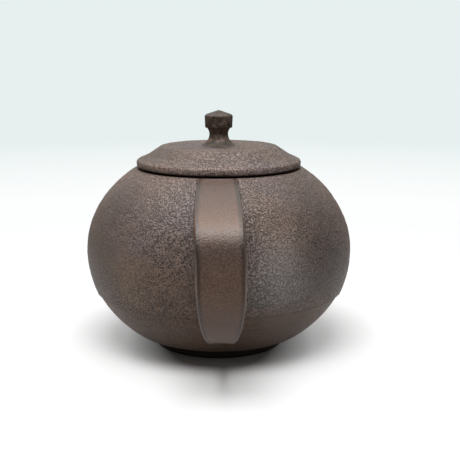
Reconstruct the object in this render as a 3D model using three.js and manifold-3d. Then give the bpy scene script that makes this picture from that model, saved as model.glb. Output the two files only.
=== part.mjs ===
// Back-handle teapot of unglazed stoneware: a squat thrown body with a pierced strainer inside,
// a spout on one side, a flat strap handle opposite it, and a lid that drops into the mouth.
// Millimetres, +Z up. The origin is on the body's axis at the level of the table,
// the handle points along -Y and the spout along +Y.

import * as THREE from 'three';
import { mergeVertices } from 'three/addons/utils/BufferGeometryUtils.js';
import Module from 'manifold-3d';

const wasm = await Module();
wasm.setup();

// Gaps between pieces
const LUTE_GAP = 0.3;            // between two pieces that the potter joined with slip
const LID_SEAT_GAP = 0.3;        // between the lid and the mouth that it rests on
const FLANGE_CLEARANCE = 0.5;    // between the lid's collar and the mouth, all round

// Body: a thrown shell, an ellipse in section, with its widest ring at BELLY_HEIGHT
const BELLY_RADIUS = 50.7;
const BELLY_HEIGHT = 37;
const SHOULDER_RISE = 40.1;      // half height of the ellipse above the belly
const WAIST_DROP = 44.6;         // half height of the ellipse from the belly down to the seam
const TRIMMED_DROP = 41.3;       // half height of the ellipse below the seam
const SEAM_HEIGHT = 21.9;        // where the textured clay ends and the trimmed clay begins
const MOUTH_HEIGHT = 68;         // level of the flat rim that the lid rests on
const MOUTH_RADIUS = 25.1;
const MOUTH_DEPTH = 3.4;         // height of the thickened rim
const BODY_WALL = 3;
const FLOOR_THICKNESS = 3.4;
const BASE_BEVEL_HEIGHT = 1.2;   // bevel where the side turns into the underside
const BASE_BEVEL_WIDTH = 2;

// Foot: a low ring of clay under the body
const FOOT_RADIUS = 25.2;
const FOOT_HEIGHT = 4.5;
const FOOT_WIDTH = 4.6;
const FOOT_FLARE = 0.7;          // how much wider the ring is where it meets the body
const FOOT_CHAMFER = 0.6;

// Lid: a plate with an upright rim, two slopes and a flat top
const LID_RADIUS = 31.2;
const LID_RIM_HEIGHT = 2.2;
const LID_RIM_LIFT = 0.7;        // how far the rim stays above the part of the lid that rests
const LID_RIM_ROUND = 0.8;
const LID_REST_WIDTH = 3.9;      // flat ring on the lid's underside that rests on the mouth
const LID_BREAK_RADIUS = 27.1;   // where the shallow slope meets the steep one
const LID_BREAK_RISE = 4.7;      // height of that line above the lid's rest
const LID_TOP_RADIUS = 21.9;
const LID_TOP_RISE = 8.2;        // height of the flat top above the lid's rest
const LID_WALL = 3.2;
const VENT_RADIUS = 1.3;
const VENT_OFFSET = 12.5;        // from the knob's axis, towards the spout

// Collar under the lid
const FLANGE_WALL = 3;
const FLANGE_DEPTH = 8;
const FLANGE_TAPER = 0.5;

// Knob: a waisted neck under a short drum with a low pointed top
const KNOB_FOOT_RADIUS = 6.2;
const KNOB_NECK_RADIUS = 3.4;
const KNOB_NECK_HEIGHT = 4;      // height of the narrowest ring
const KNOB_HEAD_LOW_RADIUS = 5;
const KNOB_HEAD_HIGH_RADIUS = 5.35;
const KNOB_HEAD_BOTTOM = 6.7;
const KNOB_HEAD_TOP = 11.6;
const KNOB_HEIGHT = 13.3;
const KNOB_EDGE = 0.7;           // bevel round the drum's two edges

// Handle: one flat strap, luted to the shoulder and again just under the seam.
// Its outer face follows two curves that meet where it runs straight down.
const STRAP_REACH = 82;          // from the body's axis to the strap's outer face
const STRAP_WIDTH = 15;
const STRAP_ROOT_WIDTH = 13.7;
const STRAP_TAIL_WIDTH = 8.6;
const STRAP_THICKNESS = 4.8;
const STRAP_DISH = 0.35;         // hollow across the outer face
const STRAP_EDGE = 0.9;          // bevel along the outer face's two edges
const STRAP_TOP_HEIGHT = 67.5;   // outer face where it leaves the shoulder
const STRAP_SIDE_HEIGHT = 50;    // level where the outer face runs straight down
const STRAP_TAIL_HEIGHT = 15.2;  // outer face where it comes back to the body
const STRAP_TOP_PULL = 25;       // how long the curve keeps its direction at the shoulder
const STRAP_UPPER_PULL = 17.5;   // at the upper end of the straight side
const STRAP_LOWER_PULL = 16;     // at its lower end
const STRAP_TAIL_PULL = 26;      // and at the tail
const STRAP_TAIL_DIP = 1.7;      // how far the tail's curve first drops, going outwards
const STRAP_TAPER_TOP = 41;      // level below which the strap narrows
const STRAP_TAPER_DROP = 28.5;   // height over which it would narrow to nothing
const STRAP_BURY = 4;            // length of the ends that is cut away to the body's shape

// Spout: a tapering tube, opposite the handle
const SPOUT_REACH = 82;          // from the body's axis to the lip
const SPOUT_LIP_HEIGHT = 69;
const SPOUT_ROOT_HEIGHT = 42;
const SPOUT_ROOT_RADIUS = 14;
const SPOUT_LIP_RADIUS = 6.4;
const SPOUT_LIP_BORE = 4;
const SPOUT_SAG = 2;             // how far the tube bows below a straight line
const SPOUT_FLARE = 1.6;         // above 1 the tube widens mostly near the body
const SPOUT_HOLE_RADIUS = 9.6;   // hole in the body behind the spout
const SPOUT_BURY = 20;           // length beyond both ends that is cut away

// Strainer: a pierced dome of clay over the spout hole, inside the body
const STRAINER_RADIUS = 14;      // of the dome's rim, on the body's inside wall
const STRAINER_BULGE = 9;
const STRAINER_WALL = 1.8;
const STRAINER_HOLE_RADIUS = 1.1;
const STRAINER_HOLE_COUNT = 37;
const STRAINER_HOLE_SPREAD = 48; // degrees from the dome's middle to its last holes

// Fineness of the round shapes
const ROUND_STEPS = 52;
const SMALL_ROUND_STEPS = 24;
const BODY_ARC_STEPS = 8;
const WAIST_ARC_STEPS = 4;
const STRAP_STEPS = 36;
const SPOUT_STEPS = 10;
const CURVE_STEPS = 5;
const HOLE_SIDES = 8;

// Heights that follow from the sizes above
const BODY_BOTTOM = FOOT_HEIGHT + LUTE_GAP;
const LID_REST = MOUTH_HEIGHT + LID_SEAT_GAP;
const LID_RIM_BOTTOM = LID_REST + LID_RIM_LIFT;
const LID_TOP = LID_REST + LID_TOP_RISE;
const FLANGE_RADIUS = MOUTH_RADIUS - FLANGE_CLEARANCE;
const FLANGE_INNER = FLANGE_RADIUS - FLANGE_WALL;
const LID_REST_OUTER = MOUTH_RADIUS + LID_REST_WIDTH;

// Share of a rounding's radius that its middle point lies inside the corner
const ROUND_MIDDLE = 1 - Math.SQRT1_2;

// Closed mesh to solid and back

function solidOf(geometry) {
  const bare = geometry.clone();
  bare.deleteAttribute('normal');
  bare.deleteAttribute('uv');
  const merged = mergeVertices(bare, 1e-4);
  return new wasm.Manifold(new wasm.Mesh({
    numProp: 3,
    vertProperties: new Float32Array(merged.attributes.position.array),
    triVerts: new Uint32Array(merged.index.array),
  }));
}

function geometryOf(solid) {
  const mesh = solid.getMesh();
  const geometry = new THREE.BufferGeometry();
  geometry.setAttribute('position', new THREE.BufferAttribute(mesh.vertProperties, 3));
  geometry.setIndex(new THREE.BufferAttribute(mesh.triVerts, 1));
  geometry.computeVertexNormals();
  return geometry;
}

// A solid of revolution about Z from [radius, height] points that start and end on the axis
// or close on themselves, listed from the bottom up the outside
function turned(points, steps = ROUND_STEPS) {
  const profile = points.map(([radius, height]) => new THREE.Vector2(radius, height));
  const geometry = new THREE.LatheGeometry(profile, steps);
  geometry.rotateX(Math.PI / 2);
  return solidOf(geometry);
}

// Straight round rod from one point to another
function rod(from, to, radius, sides = SMALL_ROUND_STEPS) {
  const along = new THREE.Vector3().subVectors(to, from);
  const geometry = new THREE.CylinderGeometry(radius, radius, along.length(), sides);
  geometry.translate(0, along.length() / 2, 0);
  const turn = new THREE.Quaternion();
  turn.setFromUnitVectors(new THREE.Vector3(0, 1, 0), along.clone().normalize());
  geometry.applyQuaternion(turn);
  geometry.translate(from.x, from.y, from.z);
  return solidOf(geometry);
}

// Body profile

// Half height of the section's ellipse at a level of the outside
function outsideDrop(height) {
  if (height >= BELLY_HEIGHT) return SHOULDER_RISE;
  return height >= SEAM_HEIGHT ? WAIST_DROP : TRIMMED_DROP;
}

// Radius of the section at a level, moved out (or in, when negative) by an offset
function sectionRadius(height, drop, offset) {
  const rise = (height - BELLY_HEIGHT) / (drop + offset);
  return (BELLY_RADIUS + offset) * Math.sqrt(Math.max(0, 1 - rise * rise));
}

// Points on the outside from one level to another, evenly spaced round the ellipse
function outsideArc(low, high, drop, offset, steps) {
  const from = Math.asin(Math.max(-1, (low - BELLY_HEIGHT) / (drop + offset)));
  const to = Math.asin(Math.min(1, (high - BELLY_HEIGHT) / (drop + offset)));
  return Array.from({ length: steps + 1 }, (_, i) => {
    const angle = from + ((to - from) * i) / steps;
    return [
      (BELLY_RADIUS + offset) * Math.cos(angle),
      BELLY_HEIGHT + (drop + offset) * Math.sin(angle),
    ];
  });
}

// The whole outside from the underside to the top level, as profile points
function outsidePoints(bottom, top, offset) {
  return [
    ...outsideArc(bottom, SEAM_HEIGHT, TRIMMED_DROP, offset, BODY_ARC_STEPS),
    ...outsideArc(SEAM_HEIGHT, BELLY_HEIGHT, WAIST_DROP, offset, WAIST_ARC_STEPS),
    ...outsideArc(BELLY_HEIGHT, top, SHOULDER_RISE, offset, BODY_ARC_STEPS).slice(1),
  ];
}

// The room that the body takes, without its hollow: what handle and spout are cut to
function bodyEnvelope(offset) {
  const side = outsidePoints(BODY_BOTTOM - offset, MOUTH_HEIGHT + offset, offset);
  return turned([
    [0, BODY_BOTTOM - offset],
    ...side,
    [0, MOUTH_HEIGHT + offset],
  ]);
}

// Inside wall from the floor to the underside of the thickened rim
function insidePoints(inset) {
  const floor = BODY_BOTTOM + FLOOR_THICKNESS + inset;
  const top = MOUTH_HEIGHT - MOUTH_DEPTH - inset;
  const wall = -(BODY_WALL + inset);
  return [
    ...outsideArc(floor, BELLY_HEIGHT, TRIMMED_DROP, wall, BODY_ARC_STEPS),
    ...outsideArc(BELLY_HEIGHT, top, SHOULDER_RISE, wall, BODY_ARC_STEPS).slice(1),
  ];
}

// The hollow of the body without its mouth, smaller by an inset: what the strainer is cut to
function bodyHollow(inset) {
  const side = insidePoints(inset);
  return turned([
    [0, side[0][1]],
    ...side,
    [0, side[side.length - 1][1]],
  ]);
}

function makeBody() {
  const side = outsidePoints(BODY_BOTTOM + BASE_BEVEL_HEIGHT, MOUTH_HEIGHT, 0);
  const baseRadius = side[0][0] - BASE_BEVEL_WIDTH;
  const inside = insidePoints(0).reverse();
  const shell = turned([
    [0, BODY_BOTTOM],
    [baseRadius, BODY_BOTTOM],
    ...side,
    [MOUTH_RADIUS, MOUTH_HEIGHT],
    [MOUTH_RADIUS, MOUTH_HEIGHT - MOUTH_DEPTH],
    ...inside,
    [0, inside[inside.length - 1][1]],
  ]);
  const { root, outward } = spoutRoot();
  const reach = SPOUT_HOLE_RADIUS + BODY_WALL;
  const from = root.clone().addScaledVector(outward, -reach);
  const to = root.clone().addScaledVector(outward, reach);
  return shell.subtract(rod(from, to, SPOUT_HOLE_RADIUS));
}

function makeFootRing() {
  const top = FOOT_HEIGHT;
  const inner = FOOT_RADIUS - FOOT_WIDTH;
  return turned([
    [inner + FOOT_CHAMFER, 0],
    [FOOT_RADIUS - FOOT_CHAMFER, 0],
    [FOOT_RADIUS, FOOT_CHAMFER],
    [FOOT_RADIUS + FOOT_FLARE, top],
    [inner - FOOT_FLARE, top],
    [inner, FOOT_CHAMFER],
    [inner + FOOT_CHAMFER, 0],
  ]);
}

// Lid, collar and knob

function makeLid() {
  const underTop = LID_TOP - LID_WALL;
  const underSlope = LID_TOP_RADIUS - LID_WALL;
  const rimTop = LID_RIM_BOTTOM + LID_RIM_HEIGHT;
  const plate = turned([
    [0, underTop],
    [underSlope, underTop],
    [FLANGE_INNER, LID_REST],
    [LID_REST_OUTER, LID_REST],
    [LID_RADIUS, LID_RIM_BOTTOM],
    [LID_RADIUS, rimTop - LID_RIM_ROUND],
    [LID_RADIUS - LID_RIM_ROUND * ROUND_MIDDLE, rimTop - LID_RIM_ROUND * ROUND_MIDDLE],
    [LID_RADIUS - LID_RIM_ROUND, rimTop],
    [LID_BREAK_RADIUS, LID_REST + LID_BREAK_RISE],
    [LID_TOP_RADIUS, LID_TOP],
    [0, LID_TOP],
  ]);
  const low = new THREE.Vector3(0, VENT_OFFSET, underTop - LID_WALL);
  const high = new THREE.Vector3(0, VENT_OFFSET, LID_TOP + LID_WALL);
  return plate.subtract(rod(low, high, VENT_RADIUS, HOLE_SIDES));
}

function makeLidFlange() {
  const top = LID_REST - LUTE_GAP;
  const bottom = top - FLANGE_DEPTH;
  return turned([
    [FLANGE_INNER + FLANGE_TAPER, bottom],
    [FLANGE_RADIUS - FLANGE_TAPER, bottom],
    [FLANGE_RADIUS, bottom + FLANGE_DEPTH / 2],
    [FLANGE_RADIUS, top],
    [FLANGE_INNER, top],
    [FLANGE_INNER + FLANGE_TAPER, bottom],
  ]);
}

function makeKnob() {
  const neck = LID_TOP + KNOB_NECK_HEIGHT;
  const headBottom = LID_TOP + KNOB_HEAD_BOTTOM;
  const headTop = LID_TOP + KNOB_HEAD_TOP;
  const waist = new THREE.CurvePath();
  waist.add(new THREE.QuadraticBezierCurve(
    new THREE.Vector2(KNOB_FOOT_RADIUS, LID_TOP + LUTE_GAP),
    new THREE.Vector2(KNOB_NECK_RADIUS, LID_TOP + LUTE_GAP),
    new THREE.Vector2(KNOB_NECK_RADIUS, neck),
  ));
  waist.add(new THREE.QuadraticBezierCurve(
    new THREE.Vector2(KNOB_NECK_RADIUS, neck),
    new THREE.Vector2(KNOB_NECK_RADIUS, headBottom),
    new THREE.Vector2(KNOB_HEAD_LOW_RADIUS - KNOB_EDGE, headBottom),
  ));
  return turned([
    [0, LID_TOP + LUTE_GAP],
    ...waist.getPoints(CURVE_STEPS).map((point) => [point.x, point.y]),
    [KNOB_HEAD_LOW_RADIUS, headBottom + KNOB_EDGE / 2],
    [KNOB_HEAD_HIGH_RADIUS, headTop - KNOB_EDGE],
    [KNOB_HEAD_HIGH_RADIUS - KNOB_EDGE, headTop],
    [KNOB_EDGE, LID_TOP + KNOB_HEIGHT - KNOB_EDGE / 4],
    [0, LID_TOP + KNOB_HEIGHT],
  ], SMALL_ROUND_STEPS);
}

// Bends a shape that stands along Z so that it follows a path in the YZ plane.
// Beyond the path's ends it runs on straight. +Y of the shape turns to the path's left side,
// seen from +X, so that the strap's outer face stays outside.
function bent(geometry, path) {
  const length = path.getLength();
  const sideways = new THREE.Vector3(1, 0, 0);
  const place = geometry.attributes.position;
  for (let i = 0; i < place.count; i += 1) {
    const along = place.getZ(i);
    const share = Math.min(1, Math.max(0, along / length));
    const heading = path.getTangentAt(share);
    const outer = new THREE.Vector3().crossVectors(heading, sideways);
    const point = path.getPointAt(share)
      .addScaledVector(heading, along - share * length)
      .addScaledVector(outer, place.getY(i));
    place.setXYZ(i, place.getX(i), point.y, point.z);
  }
  return geometry;
}

// Handle

function strapPath() {
  const at = (reach, height) => new THREE.Vector3(0, -reach, height);
  const rootReach = sectionRadius(STRAP_TOP_HEIGHT, outsideDrop(STRAP_TOP_HEIGHT), 0);
  const tailReach = sectionRadius(STRAP_TAIL_HEIGHT, outsideDrop(STRAP_TAIL_HEIGHT), 0);
  const path = new THREE.CurvePath();
  path.add(new THREE.CubicBezierCurve3(
    at(rootReach, STRAP_TOP_HEIGHT),
    at(rootReach + STRAP_TOP_PULL, STRAP_TOP_HEIGHT),
    at(STRAP_REACH, STRAP_SIDE_HEIGHT + STRAP_UPPER_PULL),
    at(STRAP_REACH, STRAP_SIDE_HEIGHT),
  ));
  path.add(new THREE.CubicBezierCurve3(
    at(STRAP_REACH, STRAP_SIDE_HEIGHT),
    at(STRAP_REACH, STRAP_SIDE_HEIGHT - STRAP_LOWER_PULL),
    at(tailReach + STRAP_TAIL_PULL, STRAP_TAIL_HEIGHT - STRAP_TAIL_DIP),
    at(tailReach, STRAP_TAIL_HEIGHT),
  ));
  return path;
}

// Width of the strap at a share of its length: it widens a little from the root
// and narrows like the end of an ellipse towards the tail
function strapWidth(path, share) {
  const point = path.getPointAt(share);
  const start = path.getPointAt(0);
  const outward = (start.y - point.y) / (start.y + STRAP_REACH);
  const widening = STRAP_ROOT_WIDTH + (STRAP_WIDTH - STRAP_ROOT_WIDTH) * outward;
  if (point.z > STRAP_TAPER_TOP) return widening;
  const fall = Math.min(1, (STRAP_TAPER_TOP - point.z) / STRAP_TAPER_DROP);
  const narrowing = STRAP_WIDTH * Math.sqrt(1 - fall * fall);
  return Math.max(STRAP_TAIL_WIDTH, Math.min(widening, narrowing));
}

// Cross-section of the strap, one unit wide, with its outer face at y = 0
function strapSection() {
  const edge = STRAP_EDGE / STRAP_WIDTH;
  const section = new THREE.Shape();
  section.moveTo(-0.5 + edge, -STRAP_THICKNESS);
  section.lineTo(0.5 - edge, -STRAP_THICKNESS);
  section.lineTo(0.5, STRAP_EDGE - STRAP_THICKNESS);
  section.lineTo(0.5, -STRAP_EDGE);
  section.lineTo(0.5 - edge, 0);
  section.quadraticCurveTo(0, -2 * STRAP_DISH, edge - 0.5, 0);
  section.lineTo(-0.5, -STRAP_EDGE);
  section.lineTo(-0.5, STRAP_EDGE - STRAP_THICKNESS);
  section.lineTo(-0.5 + edge, -STRAP_THICKNESS);
  return section;
}

function makeHandle() {
  const path = strapPath();
  const length = path.getLength();
  const geometry = new THREE.ExtrudeGeometry(strapSection(), {
    depth: length + 2 * STRAP_BURY,
    steps: STRAP_STEPS,
    curveSegments: CURVE_STEPS,
    bevelEnabled: false,
  });
  geometry.translate(0, 0, -STRAP_BURY);
  const place = geometry.attributes.position;
  for (let i = 0; i < place.count; i += 1) {
    const share = Math.min(1, Math.max(0, place.getZ(i) / length));
    place.setX(i, place.getX(i) * strapWidth(path, share));
  }
  return solidOf(bent(geometry, path)).subtract(bodyEnvelope(LUTE_GAP));
}

// Spout and strainer

// The spout's middle line, from the body's outside to the middle of the lip
function spoutPath() {
  const rootReach = sectionRadius(SPOUT_ROOT_HEIGHT, outsideDrop(SPOUT_ROOT_HEIGHT), 0);
  const root = new THREE.Vector3(0, rootReach, SPOUT_ROOT_HEIGHT);
  const rise = SPOUT_LIP_HEIGHT - SPOUT_ROOT_HEIGHT;
  const run = SPOUT_REACH - rootReach - SPOUT_LIP_RADIUS;
  const slope = Math.atan2(rise, run);
  const lip = new THREE.Vector3(
    0,
    SPOUT_REACH - SPOUT_LIP_RADIUS / Math.sin(slope),
    SPOUT_LIP_HEIGHT,
  );
  const middle = new THREE.Vector3().addVectors(root, lip).multiplyScalar(0.5);
  middle.y += 2 * SPOUT_SAG * Math.sin(slope);
  middle.z -= 2 * SPOUT_SAG * Math.cos(slope);
  return new THREE.QuadraticBezierCurve3(root, middle, lip);
}

// Where the spout leaves the body, and in which direction
function spoutRoot() {
  const path = spoutPath();
  return { root: path.getPointAt(0), outward: path.getTangentAt(0) };
}

function makeSpout() {
  const path = spoutPath();
  const length = path.getLength();
  const radiusAt = (atRoot, atLip, along) => {
    const share = Math.min(1, Math.max(0, along / length));
    return atLip + (atRoot - atLip) * (1 - share) ** SPOUT_FLARE;
  };
  const stations = [-SPOUT_BURY];
  for (let i = 0; i <= SPOUT_STEPS; i += 1) stations.push((length * i) / SPOUT_STEPS);
  stations.push(length + SPOUT_BURY);
  const outside = stations.map((along) => new THREE.Vector2(
    radiusAt(SPOUT_ROOT_RADIUS, SPOUT_LIP_RADIUS, along),
    along,
  ));
  const bore = stations.map((along) => new THREE.Vector2(
    radiusAt(SPOUT_HOLE_RADIUS, SPOUT_LIP_BORE, along),
    along,
  )).reverse();
  const geometry = new THREE.LatheGeometry([...outside, ...bore, outside[0]], SMALL_ROUND_STEPS);
  geometry.rotateX(Math.PI / 2);
  const above = new THREE.BoxGeometry(SPOUT_REACH, SPOUT_REACH, SPOUT_REACH);
  above.translate(0, SPOUT_REACH, SPOUT_LIP_HEIGHT + SPOUT_REACH / 2);
  return solidOf(bent(geometry, path))
    .subtract(bodyEnvelope(LUTE_GAP))
    .subtract(solidOf(above));
}

function makeStrainer() {
  const { root, outward } = spoutRoot();
  const ball = (STRAINER_RADIUS ** 2 + STRAINER_BULGE ** 2) / (2 * STRAINER_BULGE);
  const setBack = ball - STRAINER_BULGE - BODY_WALL;
  const middle = root.clone().addScaledVector(outward, setBack);
  const sphere = (radius) => {
    const geometry = new THREE.SphereGeometry(radius, SMALL_ROUND_STEPS, SMALL_ROUND_STEPS / 2);
    geometry.rotateX(Math.PI / 2);
    geometry.translate(middle.x, middle.y, middle.z);
    return solidOf(geometry);
  };
  let dome = sphere(ball).subtract(sphere(ball - STRAINER_WALL));
  dome = dome.intersect(bodyHollow(LUTE_GAP));
  const inward = outward.clone().negate();
  const across = new THREE.Vector3(1, 0, 0);
  const up = new THREE.Vector3().crossVectors(inward, across);
  const turn = Math.PI * (3 - Math.sqrt(5));
  for (let i = 0; i < STRAINER_HOLE_COUNT; i += 1) {
    const spread = THREE.MathUtils.degToRad(STRAINER_HOLE_SPREAD);
    const tilt = spread * Math.sqrt((i + 0.5) / STRAINER_HOLE_COUNT);
    const aim = inward.clone().multiplyScalar(Math.cos(tilt))
      .addScaledVector(across, Math.sin(tilt) * Math.cos(turn * i))
      .addScaledVector(up, Math.sin(tilt) * Math.sin(turn * i));
    const from = middle.clone().addScaledVector(aim, ball - 2 * STRAINER_WALL);
    const to = middle.clone().addScaledVector(aim, ball + STRAINER_WALL);
    dome = dome.subtract(rod(from, to, STRAINER_HOLE_RADIUS, HOLE_SIDES));
  }
  return dome;
}

// The pieces with their fired colours

const teapot = new THREE.Group();

function addPiece(name, solid, color, roughness) {
  const material = new THREE.MeshStandardMaterial({ color, roughness, metalness: 0 });
  const mesh = new THREE.Mesh(geometryOf(solid), material);
  mesh.name = name;
  teapot.add(mesh);
}

addPiece('body', makeBody(), 0x6a5c57, 0.62);
addPiece('foot_ring', makeFootRing(), 0x584a44, 0.6);
addPiece('spout', makeSpout(), 0x6a5b55, 0.55);
addPiece('strainer', makeStrainer(), 0x5d4e48, 0.65);
addPiece('handle', makeHandle(), 0x6f5d56, 0.42);
addPiece('lid', makeLid(), 0x75665f, 0.62);
addPiece('lid_flange', makeLidFlange(), 0x66564f, 0.6);
addPiece('knob', makeKnob(), 0x6d5d56, 0.52);

export default teapot;
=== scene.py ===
"""A stoneware teapot with its handle at the back, in metres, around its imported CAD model."""

import math

import bpy
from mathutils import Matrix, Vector


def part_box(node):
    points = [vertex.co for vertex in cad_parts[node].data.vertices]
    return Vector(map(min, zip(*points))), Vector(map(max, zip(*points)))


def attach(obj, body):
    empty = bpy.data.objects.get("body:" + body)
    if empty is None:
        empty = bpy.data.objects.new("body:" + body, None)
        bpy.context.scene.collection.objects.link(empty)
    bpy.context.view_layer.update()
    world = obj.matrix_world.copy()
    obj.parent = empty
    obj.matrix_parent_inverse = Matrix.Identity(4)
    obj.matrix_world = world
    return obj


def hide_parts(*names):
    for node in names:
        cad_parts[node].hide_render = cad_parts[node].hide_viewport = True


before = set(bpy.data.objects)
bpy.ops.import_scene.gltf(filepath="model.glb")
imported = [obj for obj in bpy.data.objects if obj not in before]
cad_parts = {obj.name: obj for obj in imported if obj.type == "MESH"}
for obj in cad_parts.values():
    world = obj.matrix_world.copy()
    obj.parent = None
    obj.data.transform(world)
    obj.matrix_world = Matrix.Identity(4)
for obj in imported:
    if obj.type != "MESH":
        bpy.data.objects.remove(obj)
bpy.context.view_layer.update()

# Body
# The body is thrown in one piece from dark, iron-bearing clay, and its outside keeps a crepe
# skin of fine wrinkles. Below the seam it was trimmed on the wheel once leather-hard, so the
# clay is smoother there and sits a little deeper. It is fired without a glaze.

MM = 0.001

body_low, body_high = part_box("body")
BELLY_RADIUS = body_high.x
BELLY_HEIGHT = 37 * MM
SHOULDER_RISE = 40.1 * MM      # half height of the ellipse above the belly
WAIST_DROP = 44.6 * MM         # half height of the ellipse between belly and seam
TRIMMED_DROP = 41.3 * MM       # half height of the ellipse below the seam
SEAM_HEIGHT = 21.9 * MM
SEAM_SLOPE = 0.2 * MM          # height over which the trimmed clay steps in
MOUTH_RADIUS = 25.1 * MM
MOUTH_DEPTH = 3.4 * MM         # height of the thickened rim
RIM_ROUNDINGS = (0.5 * MM, 0.6 * MM, 0.5 * MM)   # of its outer, inner and lower edge
WALL = 3 * MM
FLOOR_THICKNESS = 3.4 * MM
BASE_BEVEL_HEIGHT = 1.2 * MM
BASE_BEVEL_WIDTH = 2 * MM
BASE_ROUNDINGS = (1 * MM, 0.8 * MM)
RING_SPACING = 0.65 * MM       # between the rings of the outside's mesh
RIM_SPACING = 1.2 * MM
INNER_SPACING = 3 * MM
BASE_SPACING = 4 * MM
BODY_STEPS = 420
ROUNDING_STEPS = 3             # straight pieces in each rounded corner
ROUNDING_REACH = 0.49          # most of a side that one rounding takes up
SHORTEST_STEP = 0.02 * MM
WELD = 0.005 * MM              # points that are closer become one


def side_of_ellipse(low, high, drop, offset, spacing):
    """Outline points up one ellipse of the side, from one level to another."""
    start = math.asin(max(-1, (low - BELLY_HEIGHT) / (drop + offset)))
    end = math.asin(min(1, (high - BELLY_HEIGHT) / (drop + offset)))
    steps = max(2, round(abs(end - start) * BELLY_RADIUS / spacing))
    angles = [start + (end - start) * i / steps for i in range(steps + 1)]
    radius = BELLY_RADIUS + offset
    return [(radius * math.cos(a), BELLY_HEIGHT + (drop + offset) * math.sin(a)) for a in angles]


def curve(a, b, c, t):
    """Point at t on a curve from a to c that bends towards b."""
    return (1 - t) ** 2 * a + 2 * t * (1 - t) * b + t * t * c


def softened(corners, spacing):
    """An outline through corners given as (radius, height, rounding), its corners rounded off."""
    points = [corners[0][:2]]
    for before, corner, after in zip(corners, corners[1:], corners[2:]):
        here = Vector(corner[:2])
        back = Vector(before[:2]) - here
        ahead = Vector(after[:2]) - here
        ease = min(corner[2], back.length * ROUNDING_REACH, ahead.length * ROUNDING_REACH)
        enter = here + back.normalized() * ease
        leave = here + ahead.normalized() * ease
        for i in range(ROUNDING_STEPS + 1):
            points.append(tuple(curve(enter, here, leave, i / ROUNDING_STEPS)))
    points.append(corners[-1][:2])
    filled = [points[0]]
    for a, b in zip(points, points[1:]):
        steps = max(1, math.ceil(math.dist(a, b) / spacing))
        for i in range(1, steps + 1):
            filled.append((a[0] + (b[0] - a[0]) * i / steps, a[1] + (b[1] - a[1]) * i / steps))
    return [filled[0]] + [b for a, b in zip(filled, filled[1:]) if math.dist(a, b) > SHORTEST_STEP]


def start_outline(name, place):
    """A new piece that is a single point so far, in edit mode."""
    bpy.ops.object.select_all(action="DESELECT")
    bpy.ops.mesh.primitive_plane_add(size=MM)
    piece = bpy.context.object
    piece.name = piece.data.name = name
    bpy.ops.object.mode_set(mode="EDIT")
    bpy.ops.mesh.select_mode(type="VERT")
    bpy.ops.mesh.merge(type="CENTER")
    bpy.ops.transform.translate(value=place)
    return piece


def face_outwards():
    """Turns all faces of the piece in edit mode outwards and leaves edit mode."""
    bpy.ops.mesh.select_all(action="SELECT")
    bpy.ops.mesh.normals_make_consistent(inside=False)
    bpy.ops.object.mode_set(mode="OBJECT")


def throw(name, outline, steps):
    """Draws half a section point by point and turns it round the wheel's axis."""
    piece = start_outline(name, (outline[0][0], 0, outline[0][1]))
    for (x0, z0), (x1, z1) in zip(outline, outline[1:]):
        step = {"value": (x1 - x0, 0, z1 - z0)}
        bpy.ops.mesh.extrude_region_move(TRANSFORM_OT_translate=step)
    bpy.ops.mesh.select_all(action="SELECT")
    bpy.ops.mesh.spin(steps=steps, angle=math.tau, center=(0, 0, 0), axis=(0, 0, 1))
    bpy.ops.mesh.select_all(action="SELECT")
    bpy.ops.mesh.remove_doubles(threshold=WELD)
    face_outwards()
    return piece


def choose(piece):
    """Makes a piece the active one and the only one selected."""
    bpy.ops.object.select_all(action="DESELECT")
    piece.select_set(True)
    bpy.context.view_layer.objects.active = piece


def finish_with(piece, kind, **settings):
    """Adds a modifier to a piece, sets it and applies it."""
    choose(piece)
    bpy.ops.object.modifier_add(type=kind)
    modifier = piece.modifiers[-1]
    for setting, value in settings.items():
        setattr(modifier, setting, value)
    bpy.ops.object.modifier_apply(modifier=modifier.name)


def uneven(piece, group, size, depth):
    """Moves a piece's surface in and out by soft noise of a size and depth, where its group is."""
    clay = bpy.data.textures.new(f"{piece.name}_{group}_relief", "CLOUDS")
    clay.noise_scale = size
    clay.noise_depth = 1
    finish_with(piece, "DISPLACE", texture=clay, texture_coords="LOCAL", strength=depth,
                mid_level=0.5, vertex_group=group)


def round_off(piece, degrees):
    """Shades a piece smooth, with hard edges only above an angle."""
    choose(piece)
    bpy.ops.object.shade_smooth_by_angle(angle=math.radians(degrees))


body_bottom = body_low.z
mouth_height = body_high.z
trimmed_side = side_of_ellipse(body_bottom + BASE_BEVEL_HEIGHT, SEAM_HEIGHT - SEAM_SLOPE,
                               TRIMMED_DROP, 0, RING_SPACING)
waist_side = side_of_ellipse(SEAM_HEIGHT, BELLY_HEIGHT, WAIST_DROP, 0, RING_SPACING)
shoulder_side = side_of_ellipse(BELLY_HEIGHT, mouth_height, SHOULDER_RISE, 0, RING_SPACING)
inner_floor = body_bottom + FLOOR_THICKNESS
inner_top = mouth_height - MOUTH_DEPTH
inside = side_of_ellipse(BELLY_HEIGHT, inner_top, SHOULDER_RISE, -WALL, INNER_SPACING)[::-1]
inside += side_of_ellipse(inner_floor, BELLY_HEIGHT, TRIMMED_DROP, -WALL, INNER_SPACING)[-2::-1]
rim = softened([(*shoulder_side[-2], 0), (*shoulder_side[-1], RIM_ROUNDINGS[0]),
                (MOUTH_RADIUS, mouth_height, RIM_ROUNDINGS[1]),
                (MOUTH_RADIUS, inner_top, RIM_ROUNDINGS[2]), (*inside[0], 0)], RIM_SPACING)
base = softened([(0, body_bottom, 0),
                 (trimmed_side[0][0] - BASE_BEVEL_WIDTH, body_bottom, BASE_ROUNDINGS[0]),
                 (*trimmed_side[0], BASE_ROUNDINGS[1]), (*trimmed_side[1], 0)], BASE_SPACING)
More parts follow.
